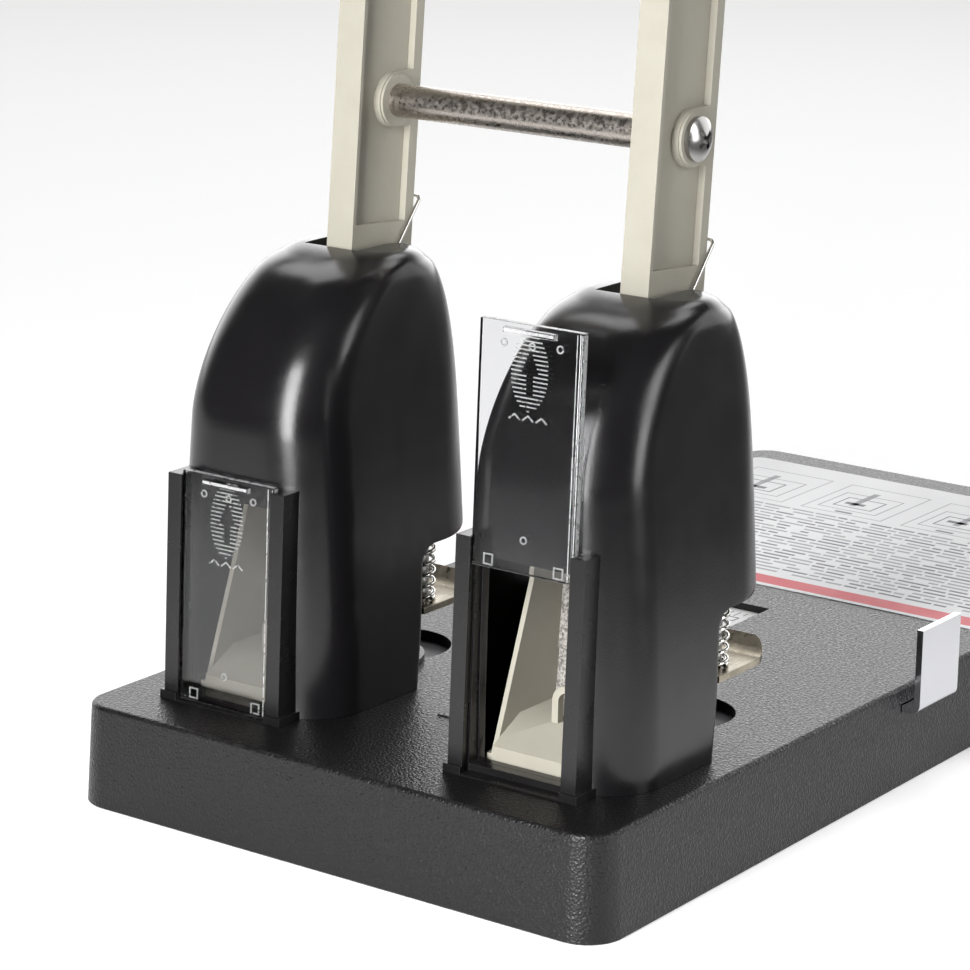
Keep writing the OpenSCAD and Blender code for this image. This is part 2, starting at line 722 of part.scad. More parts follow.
torsion_spring(1);  // torsion_spring_right
ram(-1);  // ram_left
ram(1);  // ram_right
punch_bit(-1);  // punch_bit_left
punch_bit(1);  // punch_bit_right
bit_screws(-1);  // bit_screws_left
bit_screws(1);  // bit_screws_right
presser_plate(-1);  // presser_plate_left
presser_plate(1);  // presser_plate_right
guide_pins(-1);  // guide_pins_left
guide_pins(1);  // guide_pins_right
presser_springs(-1);  // presser_springs_left
presser_springs(1);  // presser_springs_right
paper_guide();
guide_keepers();
scale_strip();
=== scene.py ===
"""Looks of the heavy-duty two-hole punch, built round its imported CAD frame.

Lengths in this script are millimetres in the row frame, turned into metres by MM where Blender needs them.
"""

import json
import math
import random

import bmesh
import bpy
from mathutils import Matrix, Vector


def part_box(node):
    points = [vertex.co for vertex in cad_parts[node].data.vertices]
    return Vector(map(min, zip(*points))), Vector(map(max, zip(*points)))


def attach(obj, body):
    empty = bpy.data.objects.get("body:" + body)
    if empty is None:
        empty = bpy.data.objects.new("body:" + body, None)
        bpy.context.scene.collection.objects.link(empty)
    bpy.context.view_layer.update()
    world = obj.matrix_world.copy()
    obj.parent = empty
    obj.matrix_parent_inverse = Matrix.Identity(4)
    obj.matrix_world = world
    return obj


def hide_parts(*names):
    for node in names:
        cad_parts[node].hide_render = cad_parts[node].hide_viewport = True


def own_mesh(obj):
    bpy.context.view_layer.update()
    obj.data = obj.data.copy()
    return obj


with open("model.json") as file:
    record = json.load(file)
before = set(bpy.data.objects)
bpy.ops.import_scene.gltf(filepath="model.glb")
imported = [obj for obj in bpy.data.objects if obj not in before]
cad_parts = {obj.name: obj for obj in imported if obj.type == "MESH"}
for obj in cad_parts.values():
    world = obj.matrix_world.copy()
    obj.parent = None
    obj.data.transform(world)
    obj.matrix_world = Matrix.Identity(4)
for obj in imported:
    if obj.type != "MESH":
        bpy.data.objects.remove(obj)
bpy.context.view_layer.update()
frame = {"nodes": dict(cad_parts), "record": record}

MM = 0.001
SIDES = {"left": -1, "right": 1}


def corners(node):
    """Lowest and highest corner of a CAD node, in millimetres."""
    low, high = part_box(node)
    return low / MM, high / MM


# ---- places taken from the CAD frame ----

BASE_LOW, BASE_HIGH = corners("base_housing")
BASE_TOP = BASE_HIGH.z
TOWER_X = 40
LABEL_TOP = corners("instruction_label")[1].z
SCALE_TOP = corners("scale_strip")[1].z

# ---- shapes that the CAD source also holds ----

BASE_CORNER = 9
BASE_DRAFT = 1.2
BASE_WALL = 2.5
PUNCH_Y = -81
DISC_R = 13.8
RECESS_Y = -68
RECESS_R = 12.5
SCALE_WINDOW = (-15, 15, -8, 11.7)
GUIDE_SLOT = (66, 76, -22.5, -3.9, 17.8, 19.8)

TOWER_HALF = 24
TOWER_HALF_TOP = 17.2
SIDE_START = 36.4
TOWER_TOP = 124
TOWER_WALL = 2.2
TOWER_FRONT = -127.8
FRONT_TOP = -95.5
FRONT_START = 88.3
FRONT_CORNER = 14
OVERHANG_Z = 57
BODY_REAR = -91
BODY_LEAN = 0.085
RAM_FRONT = -89
RAM_BOTTOM = 42
RAM_ROOM = 21.7
REAR_FOOT = -62.6
REAR_TOP = -81
REAR_START = 77.2
REAR_CORNER = 17.4
LOWER_REAR_CORNER = 2.5
COVE_R = 4.5
SLOT = (-9.45, 5.65, -92.4, -44, 64, 150)
CHIP_OPENING = (-13.5, 11.3, -135, -119, BASE_TOP + 2, BASE_TOP + 48.2)
SPRING_X = 16.8
SPRING_Y = -82.9
SPRING_R = 3.5

WINDOW_MIDDLE = -1.1
WINDOW_LEAN = math.radians(2.3)
WINDOW_W = 26.2
WINDOW_H = 53
WINDOW_T = 1.6
WINDOW_FRONT = 0.85
WINDOW_FOOT = BASE_TOP + 0.6
WINDOW_FOOT_Y = -133
WINDOW_LIFT = {"left": 0, "right": 46}

# ---- roundings that differ from the CAD source, which has none or smaller ones ----

BASE_ROUND = 1.1
TOP_ROUND = 5
OVERHANG_ROUND = 1.6


# ---- meshes ----

def new_object(name, mesh):
    made = bpy.data.objects.new(name, mesh)
    bpy.context.scene.collection.objects.link(made)
    return made


def object_from(name, bm):
    """A Blender object, in metres, from a bmesh in millimetres."""
    bmesh.ops.scale(bm, vec=(MM, MM, MM), verts=bm.verts)
    bmesh.ops.recalc_face_normals(bm, faces=bm.faces)
    mesh = bpy.data.meshes.new(name)
    bm.to_mesh(mesh)
    bm.free()
    return new_object(name, mesh)


def soften(piece, sharp_degrees=32):
    """Smooth shading that keeps edges sharper than the given angle."""
    piece.data.polygons.foreach_set("use_smooth", [True] * len(piece.data.polygons))
    piece.data.set_sharp_from_angle(angle=math.radians(sharp_degrees))
    weighted = piece.modifiers.new("even_normals", "WEIGHTED_NORMAL")
    weighted.keep_sharp = True


def apply_modifiers(piece):
    graph = bpy.context.evaluated_depsgraph_get()
    mesh = bpy.data.meshes.new_from_object(piece.evaluated_get(graph))
    piece.modifiers.clear()
    piece.data = mesh


def cut(piece, cutters, operation="DIFFERENCE"):
    """Cuts each cutter out of piece, in turn, and removes the cutters."""
    for cutter in cutters:
        step = piece.modifiers.new(operation, "BOOLEAN")
        step.operation = operation
        step.solver = "EXACT"
        step.object = cutter
    apply_modifiers(piece)
    for cutter in cutters:
        bpy.data.objects.remove(cutter)


def finish_piece(piece, body, material, replaced=(), sharp_degrees=32):
    """Gives a piece its material, shading and body, and hides the CAD nodes that it stands for."""
    piece.data.materials.clear()
    piece.data.materials.append(material)
    soften(piece, sharp_degrees)
    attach(piece, body)
    if replaced:
        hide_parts(*replaced)
    return piece


def add_block(bm, x0, x1, y0, y1, z0, z1):
    made = bmesh.ops.create_cube(bm, size=1)["verts"]
    bmesh.ops.scale(bm, vec=(x1 - x0, y1 - y0, z1 - z0), verts=made)
    bmesh.ops.translate(bm, vec=((x0 + x1) / 2, (y0 + y1) / 2, (z0 + z1) / 2), verts=made)
    return made


def block(*extents):
    bm = bmesh.new()
    add_block(bm, *extents)
    return object_from("cutter", bm)


def cylinder(radius, x, y, z0, z1):
    bm = bmesh.new()
    made = bmesh.ops.create_cone(
        bm, cap_ends=True, segments=96, radius1=radius, radius2=radius, depth=z1 - z0
    )["verts"]
    bmesh.ops.translate(bm, vec=(x, y, (z0 + z1) / 2), verts=made)
    return object_from("cutter", bm)


def loft(bm, rings):
    """A closed body skinned over rings with equal numbers of points."""
    rows = [[bm.verts.new(point) for point in ring] for ring in rings]
    count = len(rings[0])
    for low, high in zip(rows, rows[1:]):
        for k in range(count):
            bm.faces.new((low[k], low[(k + 1) % count], high[(k + 1) % count], high[k]))
    bm.faces.new(reversed(rows[0]))
    bm.faces.new(rows[-1])


def plan_ring(half, front, rear, front_r, rear_r, z, corner_steps=14, side_steps=6):
    """A rectangle in plan with rounded corners, as points at height z."""
    limit = min(half, (rear - front) / 2) - 0.01
    front_r, rear_r = min(front_r, limit), min(rear_r, limit)
    centres = [
        (half - front_r, front + front_r, front_r, -90),
        (half - rear_r, rear - rear_r, rear_r, 0),
        (rear_r - half, rear - rear_r, rear_r, 90),
        (front_r - half, front + front_r, front_r, 180),
    ]
    arcs = []
    for x, y, r, start in centres:
        turns = [math.radians(start + 90 * k / corner_steps) for k in range(corner_steps + 1)]
        arcs.append([Vector((x + r * math.cos(t), y + r * math.sin(t), z)) for t in turns])
    ring = []
    for arc, following in zip(arcs, arcs[1:] + arcs[:1]):
        ring += arc
        ring += [arc[-1].lerp(following[0], k / side_steps) for k in range(1, side_steps)]
    return ring


def tube(name, points, radius):
    """A round wire of the given radius along points, in millimetres, as a mesh object."""
    curve = bpy.data.curves.new(name, "CURVE")
    curve.dimensions = "3D"
    curve.bevel_depth = radius * MM
    curve.bevel_resolution = 3
    curve.use_fill_caps = True
    spline = curve.splines.new("POLY")
    spline.points.add(len(points) - 1)
    for target, point in zip(spline.points, points):
        target.co = (*(Vector(point) * MM), 1)
    drawn = new_object(name + "_line", curve)
    graph = bpy.context.evaluated_depsgraph_get()
    mesh = bpy.data.meshes.new_from_object(drawn.evaluated_get(graph))
    bpy.data.objects.remove(drawn)
    return new_object(name, mesh)


def rounded_path(points, radius, steps=6):
    """Points of a path whose corners are rounded with arcs of about the given radius."""
    path = [Vector(points[0])]
    for before, corner, after in zip(points, points[1:], points[2:]):
        before, corner, after = Vector(before), Vector(corner), Vector(after)
        start = corner + (before - corner).normalized() * radius
        end = corner + (after - corner).normalized() * radius
        for k in range(steps + 1):
            t = k / steps
            path.append(start.lerp(corner, t).lerp(corner.lerp(end, t), t))
    path.append(Vector(points[-1]))
    return path


def join(name, parts):
    """One object out of several, with their transforms applied."""
    bm = bmesh.new()
    for part in parts:
        part.data.transform(part.matrix_world)
        bm.from_mesh(part.data)
        bpy.data.objects.remove(part)
    mesh = bpy.data.meshes.new(name)
    bm.to_mesh(mesh)
    bm.free()
    return new_object(name, mesh)


def rounded_copy(node, bevel):
    """A copy of a CAD node with its edges rounded, ready to stand for it."""
    source = frame["nodes"][node]
    bm = bmesh.new()
    bm.from_mesh(source.data)
    bmesh.ops.remove_doubles(bm, verts=bm.verts, dist=0.002 * MM)
    bmesh.ops.dissolve_limit(bm, angle_limit=math.radians(0.5), verts=bm.verts, edges=bm.edges)
    mesh = bpy.data.meshes.new(node + "_finish")
    bm.to_mesh(mesh)
    bm.free()
    copy = new_object(node + "_finish", mesh)
    rounding = copy.modifiers.new("rounding", "BEVEL")
    rounding.width = bevel * MM
    rounding.segments = 3
    rounding.limit_method = "ANGLE"
    rounding.angle_limit = math.radians(35)
    rounding.use_clamp_overlap = True
    apply_modifiers(copy)
    return copy


# ---- materials ----

def smooth_step(tree, value, low, high, to_low, to_high):
    """A smooth ramp of a socket's value from one range to another."""
    made = tree.nodes.new("ShaderNodeMapRange")
    made.interpolation_type = "SMOOTHSTEP"
    for name, number in zip(("From Min", "From Max", "To Min", "To Max"), (low, high, to_low, to_high)):
        made.inputs[name].default_value = number
    tree.links.new(value, made.inputs["Value"])
    return made.outputs["Result"]


def along(tree, points, direction):
    """How far points lie in a direction."""
    made = tree.nodes.new("ShaderNodeVectorMath")
    made.operation = "DOT_PRODUCT"
    made.inputs[1].default_value = direction
    tree.links.new(points, made.inputs[0])
    return made.outputs["Value"]


def product(tree, first, second):
    made = tree.nodes.new("ShaderNodeMath")
    made.operation = "MULTIPLY"
    tree.links.new(first, made.inputs[0])
    tree.links.new(second, made.inputs[1])
    return made.outputs["Value"]


class Finish:
    """A procedural material: a Principled surface fed from points of the object, in metres."""

    def __init__(self, name, color, roughness, metallic=0.0, ior=1.47):
        self.material = bpy.data.materials.new(name)
        self.material.use_nodes = True
        self.tree = self.material.node_tree
        self.surface = self.tree.nodes["Principled BSDF"]
        self.surface.inputs["Base Color"].default_value = (*color, 1)
        self.surface.inputs["Roughness"].default_value = roughness
        self.surface.inputs["Metallic"].default_value = metallic
        self.surface.inputs["IOR"].default_value = ior
        self.points = self.tree.nodes.new("ShaderNodeTexCoord").outputs["Object"]

    def node(self, kind, **inputs):
        made = self.tree.nodes.new(kind)
        for name, value in inputs.items():
            self.feed(made, name.replace("_", " "), value)
        return made

    def feed(self, node, name, value):
        if isinstance(value, bpy.types.NodeSocket):
            self.tree.links.new(value, node.inputs[name])
        else:
            node.inputs[name].default_value = value

    def stretched(self, x, y, z):
        """The object's points, scaled along each axis."""
        made = self.node("ShaderNodeMapping", Vector=self.points, Scale=(x, y, z))
        return made.outputs["Vector"]

    def noise(self, size_mm, detail=3.0, rough=0.55, points=None):
        """Soft random values whose features are about size_mm across."""
        made = self.node(
            "ShaderNodeTexNoise", Vector=points or self.points, Scale=1 / (size_mm * MM), Detail=detail,
            Roughness=rough,
        )
        return made.outputs["Fac"]

    def cells(self, size_mm, feature="F1"):
        made = self.node("ShaderNodeTexVoronoi", Vector=self.points, Scale=1 / (size_mm * MM))
        made.feature = feature
        if feature == "SMOOTH_F1":
            made.inputs["Smoothness"].default_value = 0.4
        return made.outputs["Distance"]

    def spread(self, value, low, high, to_low, to_high):
        return smooth_step(self.tree, value, low, high, to_low, to_high)

    def mixed(self, factor, first, second):
        made = self.tree.nodes.new("ShaderNodeMix")
        made.data_type = "RGBA"
        self.feed(made, "Factor", factor)
        made.inputs[6].default_value = (*first, 1)
        made.inputs[7].default_value = (*second, 1)
        return made.outputs[2]

    def color(self, socket):
        self.feed(self.surface, "Base Color", socket)

    def roughness(self, socket):
        self.feed(self.surface, "Roughness", socket)

    def bump(self, heights, edge_radius=0.0):
        """Bumps from (value, depth in mm) pairs, over edges rounded by edge_radius mm."""
        normal = None
        if edge_radius:
            rounded = self.node("ShaderNodeBevel", Radius=edge_radius * MM)
            rounded.samples = 4
            normal = rounded.outputs["Normal"]
        for value, depth in heights:
            made = self.node("ShaderNodeBump", Height=value, Distance=depth * MM)
            if normal is not None:
                self.feed(made, "Normal", normal)
            normal = made.outputs["Normal"]
        self.feed(self.surface, "Normal", normal)


def pebbled_plastic():
    """Black moulding with the pebble grain of the base."""
    made = Finish("base_plastic_look", (0.005, 0.0047, 0.0052), 0.36, ior=1.42)
    grain = made.cells(0.62, "SMOOTH_F1")
    fine = made.noise(0.3, 2)
    made.roughness(made.spread(made.noise(0.7), 0.3, 0.7, 0.26, 0.5))
    made.color(made.mixed(made.noise(24, 4), (0.0045, 0.0042, 0.0047), (0.006, 0.0056, 0.0063)))
    made.bump([(grain, 0.13), (fine, 0.04)], edge_radius=0.25)
    return made.material


def satin_plastic(name, color, roughness, grain, edge):
    """Smooth black moulding with a very fine grain."""
    made = Finish(name, color, roughness, ior=1.46)
    made.roughness(made.spread(made.noise(9, 4), 0.3, 0.7, roughness - 0.03, roughness + 0.04))
    made.color(made.mixed(made.noise(30, 3), color, [1.3 * part for part in color]))
    made.bump([(made.noise(0.45, 2), grain)], edge_radius=edge)
    return made.material


def cream_paint():
    """Warm grey-white paint on die-cast metal, slightly uneven, with faint grime."""
    made = Finish("cream_paint_look", (0.34, 0.325, 0.275), 0.42)
    grime = made.spread(made.noise(11, 5, 0.65), 0.42, 0.75, 0, 0.35)
    made.color(made.mixed(grime, (0.345, 0.328, 0.275), (0.3, 0.28, 0.225)))
    made.roughness(made.spread(made.noise(5, 4), 0.3, 0.7, 0.36, 0.5))
    made.bump([(made.noise(0.8, 3), 0.02), (made.noise(7, 2), 0.03)])
    return made.material


def cast_metal():
    """Bare grey casting with a granular skin."""
    made = Finish("cast_metal_look", (0.3, 0.29, 0.27), 0.6, metallic=0.35)
    grains = made.noise(0.7, 4, 0.7)
    made.color(made.mixed(made.spread(grains, 0.38, 0.62, 0, 1), (0.12, 0.115, 0.11), (0.42, 0.4, 0.37)))
    made.bump([(grains, 0.18), (made.cells(1.3), 0.1)])
    return made.material


def pitted_nickel():
    """Dull nickel plating with fine brown pits and patchy gloss."""
    made = Finish("plated_steel_look", (0.36, 0.33, 0.305), 0.35, metallic=1.0)
    pits = made.spread(made.noise(0.3, 3, 0.6), 0.45, 0.75, 0, 1)
    made.color(made.mixed(pits, (0.47, 0.43, 0.395), (0.31, 0.27, 0.23)))
    made.roughness(made.spread(made.noise(1.1, 4, 0.6), 0.35, 0.65, 0.24, 0.42))
    made.bump([(made.noise(0.35, 3, 0.6), 0.02)])
    return made.material


def plated(name, color, roughness, patch_mm, bump_depth=0.004, metallic=1.0):
    """Bright plating whose gloss varies a little."""
    made = Finish(name, color, roughness, metallic=metallic)
    glossiest = max(0.03, roughness - 0.05)
    made.roughness(made.spread(made.noise(patch_mm, 4), 0.3, 0.7, glossiest, roughness + 0.08))
    made.color(made.mixed(made.noise(patch_mm * 2.5, 3), color, [0.86 * part for part in color]))
    made.bump([(made.noise(0.5, 3), bump_depth)])
    return made.material


def brushed(name, color, roughness, stretch):
    """Rolled sheet with fine streaks along one way."""
    made = Finish(name, color, roughness, metallic=1.0)
    streaks = made.noise(1.2, 4, 0.6, made.stretched(*stretch))
    made.roughness(made.spread(streaks, 0.3, 0.7, roughness - 0.08, roughness + 0.12))
    dull = made.spread(made.noise(6, 4), 0.35, 0.7, 0, 1)
    made.color(made.mixed(dull, color, [0.72 * part for part in color]))
    made.bump([(streaks, 0.02), (made.noise(5, 2), 0.06)])
    return made.material


def clear_plastic():
    """Slightly hazy clear moulding."""
    made = Finish("clear_plastic_look", (0.87, 0.87, 0.885), 0.03, ior=1.45)
    made.surface.inputs["Transmission Weight"].default_value = 1.0
    made.roughness(made.spread(made.noise(6, 3, 0.5), 0.35, 0.75, 0.015, 0.05))
    made.bump([(made.noise(9, 1), 0.01)])
    return made.material


def frosted_plastic(name, brightness, clearness):
    """Pale frosted surface for the moulded marks of the clear windows; on the window edges it makes painted
    highlights where the edges catch the light.
    """
    made = Finish(name, [brightness] * 3, 0.35, ior=1.3)
    made.surface.inputs["Transmission Weight"].default_value = clearness
    made.roughness(made.spread(made.noise(1.5, 3), 0.3, 0.7, 0.2, 0.45))
    return made.material


def soft_rubber():
    made = Finish("grip_rubber_look", (0.022, 0.022, 0.024), 0.62)
    made.roughness(made.spread(made.noise(4, 4), 0.3, 0.7, 0.55, 0.72))
    made.bump([(made.cells(0.5, "SMOOTH_F1"), 0.05)])
    return made.material


def paper_film(name, color):
    """Printed surface with a faint unevenness."""
    roughness = 0.5
    made = Finish(name, color, roughness, ior=1.15)
    made.color(made.mixed(made.noise(18, 4), color, [0.94 * part for part in color]))
    made.roughness(made.spread(made.noise(7, 3), 0.3, 0.7, roughness - 0.05, roughness + 0.06))
    made.bump([(made.noise(0.6, 2), 0.004)])
    return made.material


BLACK = (0.005, 0.0046, 0.0051)
LOOKS = {
    "base_plastic": pebbled_plastic(),
    "tower_plastic": satin_plastic("tower_plastic_look", BLACK, 0.22, 0.018, 0.5),
    "guide_plastic": satin_plastic("guide_plastic_look", (0.006, 0.0056, 0.006), 0.28, 0.006, 0.25),
    "disc_plastic": satin_plastic("disc_plastic_look", (0.02, 0.019, 0.021), 0.36, 0.02, 0.3),
    "clear_plastic": clear_plastic(),
    "cream_paint": cream_paint(),
    "cast_metal": cast_metal(),
    "plated_steel": pitted_nickel(),
    "spring_steel": plated("spring_steel_look", (0.74, 0.73, 0.7), 0.16, 2),
    "presser_plating": brushed("presser_plating_look", (0.37, 0.33, 0.26), 0.32, (1, 0.08, 1)),
    "bit_steel": brushed("bit_steel_look", (0.7, 0.7, 0.7), 0.25, (1, 1, 0.1)),
    "screw_steel": plated("screw_steel_look", (0.42, 0.41, 0.4), 0.2, 3),
    "dark_steel": plated("dark_steel_look", (0.045, 0.045, 0.05), 0.45, 4, 0.02, 0.6),
    "label_film": paper_film("label_film_look", (0.84, 0.84, 0.85)),
    "scale_film": paper_film("scale_film_look", (0.97, 0.97, 0.97)),
    "guide_chrome": plated("guide_chrome_look", (0.66, 0.66, 0.69), 0.09, 12, 0.002),
    "grip_rubber": soft_rubber(),
}
MARK_LOOK = frosted_plastic("moulded_mark_look", 0.8, 0.8)
# pale skins on the window edges are painted highlights
EDGE_HIGHLIGHT_LOOK = frosted_plastic("painted_edge_highlight_look", 0.7, 0.6)
INK_LOOK = paper_film("grey_ink_look", (0.24, 0.24, 0.255))
PALE_INK_LOOK = paper_film("pale_ink_look", (0.42, 0.42, 0.44))
BAND_LOOK = paper_film("band_ink_look", (0.72, 0.2, 0.22))


# ---- base ----

def base_solid(inset, z0, z1):
    bm = bmesh.new()
    foot_round = 0.3
    rings = [(inset + foot_round, z0), (inset, z0 + foot_round), (inset + BASE_DRAFT, z1 - BASE_ROUND)]
    for k in range(1, 9):
        turn = math.radians(90 * k / 8)
        rings.append((
            inset + BASE_DRAFT + BASE_ROUND * (1 - math.cos(turn)),
            z1 - BASE_ROUND + BASE_ROUND * math.sin(turn),
        ))
    loft(bm, [
        plan_ring(BASE_HIGH.x - e, BASE_LOW.y + e, BASE_HIGH.y - e, BASE_CORNER - e, BASE_CORNER - e, z,
                  corner_steps=18, side_steps=2)
        for e, z in rings
    ])
    return object_from("base_solid", bm)


def build_base():
    housing = base_solid(0, 0, BASE_TOP)
    housing.name = "base_moulding"
    cutters = [base_solid(BASE_WALL, -1, BASE_TOP - BASE_WALL)]
    for side in SIDES.values():
        x = side * TOWER_X
        cutters.append(cylinder(DISC_R + 0.1, x, PUNCH_Y, BASE_TOP - 4, BASE_TOP + 4))
        cutters.append(cylinder(RECESS_R, x, RECESS_Y, BASE_TOP - 4, BASE_TOP + 4))
    x0, x1, y0, y1 = SCALE_WINDOW
    cutters.append(block(x0, x1, y0, y1, BASE_TOP - 5, BASE_TOP + 3))
    cutters.append(block(*GUIDE_SLOT))
    cut(housing, cutters)
    finish_piece(housing, "base", LOOKS["base_plastic"], ["base_housing"])

    bm = bmesh.new()
    # small moulded dash between the towers
    add_block(bm, -1.6, 1.6, -104.3, -103.1, BASE_TOP - 0.2, BASE_TOP + 0.25)
    dash = object_from("base_moulded_dash", bm)
    finish_piece(dash, "base", LOOKS["base_plastic"])


# ---- towers ----

def rise(z, start):
    return min(1, max(0, (z - start) / (TOWER_TOP - start)))


def roll(share, power):
    return max(0, 1 - share ** power) ** (1 / power)


def tower_half(z):
    return TOWER_HALF_TOP + (TOWER_HALF - TOWER_HALF_TOP) * roll(rise(z, SIDE_START), 1.22)


def tower_front(z):
    return FRONT_TOP + (TOWER_FRONT - FRONT_TOP) * roll(rise(z, FRONT_START), 1.72)


def tower_rear(z):
    return REAR_TOP + (REAR_FOOT - REAR_TOP) * roll(rise(z, REAR_START), 3.35)


def top_inset(z):
    over = max(0, z - TOWER_TOP + TOP_ROUND)
    return TOP_ROUND - math.sqrt(max(0, TOP_ROUND ** 2 - over * over))


def upper_ring(z, inset, drop=0.0, rear_inset=0.0):
    e = inset + top_inset(z)
    return plan_ring(tower_half(z) - e, tower_front(z) + e, tower_rear(z) - e - rear_inset,
                     FRONT_CORNER - inset, REAR_CORNER - inset, z - drop)


def cove_rear(z):
    over = max(0, z - OVERHANG_Z + COVE_R)
    return BODY_REAR + BODY_LEAN * (z - BASE_TOP) + COVE_R - math.sqrt(max(0, COVE_R ** 2 - over ** 2))


def lower_ring(z, inset):
    return plan_ring(tower_half(z) - inset, TOWER_FRONT + inset, cove_rear(z) - inset,
                     FRONT_CORNER - inset, LOWER_REAR_CORNER, z)


def upper_heights(count=44):
    """Heights from the overhang to the top, closer together towards the top."""
    tall = TOWER_TOP - OVERHANG_Z
    return [OVERHANG_Z + tall * math.sin(math.radians(90 * k / count)) for k in range(count + 1)]


def tower_outside():
    bm = bmesh.new()
    lower = [BASE_TOP, 30, 36, 42, 46, OVERHANG_Z - COVE_R]
    lower += [OVERHANG_Z - COVE_R * math.cos(math.radians(90 * k / 10)) for k in range(1, 11)]
    rings = [lower_ring(z, 0) for z in lower]
    for k in range(7):
        turn = math.radians(15 * k)
        z = OVERHANG_Z + OVERHANG_ROUND * (1 - math.cos(turn))
        rings.append(upper_ring(z, 0, 0, OVERHANG_ROUND * (1 - math.sin(turn))))
    first = OVERHANG_Z + OVERHANG_ROUND + 0.3
    rings += [upper_ring(min(z, TOWER_TOP), 0) for z in upper_heights() if z > first]
    loft(bm, rings)
    bmesh.ops.remove_doubles(bm, verts=bm.verts, dist=0.001)
    return object_from("tower_shell", bm)


def tower_hollow(upper):
    bm = bmesh.new()
    if upper:
        tall = TOWER_TOP - OVERHANG_Z
        rings = [upper_ring(OVERHANG_Z, TOWER_WALL, 3)]
        rings += [upper_ring(min(z, TOWER_TOP), TOWER_WALL, TOWER_WALL * (z - OVERHANG_Z) / tall)
                  for z in upper_heights(24)]
        loft(bm, rings)
    else:
        loft(bm, [lower_ring(z, TOWER_WALL) for z in (BASE_TOP - 3, 36, OVERHANG_Z - COVE_R, OVERHANG_Z - 2,
                                                      OVERHANG_Z + 2)])
    return object_from("cutter", bm)


def build_towers():
    shell = tower_outside()
    cutters = [tower_hollow(True), tower_hollow(False), block(*SLOT), block(*CHIP_OPENING)]
    # room for the ram at the end of its stroke, and for the springs
    cutters.append(block(-RAM_ROOM, RAM_ROOM, RAM_FRONT - 0.4, RAM_FRONT + 8.6,
                         RAM_BOTTOM - 1.5, OVERHANG_Z + 0.5))
    for s in (-1, 1):
        cutters.append(cylinder(SPRING_R + 0.9, s * SPRING_X, SPRING_Y, OVERHANG_Z - 1, 63))
    cut(shell, cutters)
    for name, side in SIDES.items():
        mesh = shell.data.copy()
        mesh.transform(Matrix.Translation((side * TOWER_X * MM, 0, 0)))
        piece = new_object(f"tower_shell_{name}", mesh)
        finish_piece(piece, "base", LOOKS["tower_plastic"], [f"tower_cover_{name}"])
    bpy.data.objects.remove(shell)


# ---- chip windows ----

def leaned(bm, side, lift):
    """Moves points given as (across, depth, height) onto the leaning window plane of a tower."""
    for vert in bm.verts:
        across, depth, height = vert.co
        z = WINDOW_FOOT + height
        y = WINDOW_FOOT_Y + (z - BASE_TOP) * math.tan(WINDOW_LEAN) + WINDOW_FRONT + depth
        vert.co = Vector((
            side * TOWER_X + WINDOW_MIDDLE + across,
            y + lift * math.sin(WINDOW_LEAN),
            z + lift * math.cos(WINDOW_LEAN),
        ))


def window_panel():
    """The clear panel: a plate with a finger ledge near its top and a low rib down its right side."""
    bm = bmesh.new()
    half = WINDOW_W / 2
    add_block(bm, -half, half, 0, WINDOW_T, 0, WINDOW_H)
    panel = object_from("panel", bm)
    extras = [
        block(-6.5, 6.5, -1.15, WINDOW_T / 2, WINDOW_H - 2.2, WINDOW_H - 0.9),
        block(half - 1.5, half - 0.75, WINDOW_T / 2, WINDOW_T + 0.4, 1.8, WINDOW_H - 0.6),
    ]
    cut(panel, extras, "UNION")
    rounding = panel.modifiers.new("rounding", "BEVEL")
    rounding.width = 0.22 * MM
    rounding.segments = 2
    rounding.limit_method = "ANGLE"
    apply_modifiers(panel)
    bm = bmesh.new()
    bm.from_mesh(panel.data)
    bmesh.ops.scale(bm, vec=(1 / MM, 1 / MM, 1 / MM), verts=bm.verts)
    bpy.data.objects.remove(panel)
    return bm


def window_edge_highlights():
    """Thin hazy pale skins on the panel's edges: painted highlights where the clear edges catch the light."""
    bm = bmesh.new()
    half = WINDOW_W / 2
    skin = 0.06
    for x in (-half - skin, half):
        add_block(bm, x, x + skin, 0.25, WINDOW_T - 0.25, 0.3, WINDOW_H - 0.3)
    # the rib's side, and two painted highlight lines on the front before it
    add_block(bm, half - 0.75, half - 0.75 + skin, WINDOW_T + 0.02, WINDOW_T + 0.38, 2.1, WINDOW_H - 0.9)
    for x in (half - 1.65, half - 0.45):
        add_block(bm, x, x + 0.22, -skin, 0, 0.4, WINDOW_H - 0.4)
    add_block(bm, -half + 0.3, half - 0.3, 0.25, WINDOW_T - 0.25, WINDOW_H, WINDOW_H + skin)
    add_block(bm, -half + 0.3, half - 0.3, 0.3, WINDOW_T - 0.3, -skin, 0)
    # painted highlights on the ledge: its top, its underside's rim and its right end
    add_block(bm, -6.3, 6.3, -1.15 - skin, -1.15, WINDOW_H - 1.75, WINDOW_H - 1.1)
    add_block(bm, 6.5, 6.5 + skin, -1.0, -0.05, WINDOW_H - 2.1, WINDOW_H - 1)
    return bm


def inside_arrow(x, y):
    """True within the upward arrow left free of ribs; x across, y up from the oval's centre."""
    shaft = abs(x) < 0.9 and -4.8 < y < 0
    head = 0 <= y < 4.6 and abs(x) < 0.2 + 1.9 * (4.6 - y) / 4.6
    return shaft or head


def add_ring(bm, x, z, radius, depth, segments=24):
    """A small raised ring on the panel's front."""
    for k in range(segments):
        turn = 2 * math.pi * k / segments
        made = add_block(bm, -0.24, 0.24, -depth, 0.02, -0.16, 0.16)
        width = 2 * math.pi * radius / segments * 1.1
        bmesh.ops.scale(bm, vec=(width / 0.48, 1, 1), verts=made)
        bmesh.ops.rotate(bm, cent=(0, 0, 0), matrix=Matrix.Rotation(-turn + math.pi / 2, 3, "Y"), verts=made)
        bmesh.ops.translate(bm, vec=(x + radius * math.cos(turn), 0, z + radius * math.sin(turn)), verts=made)


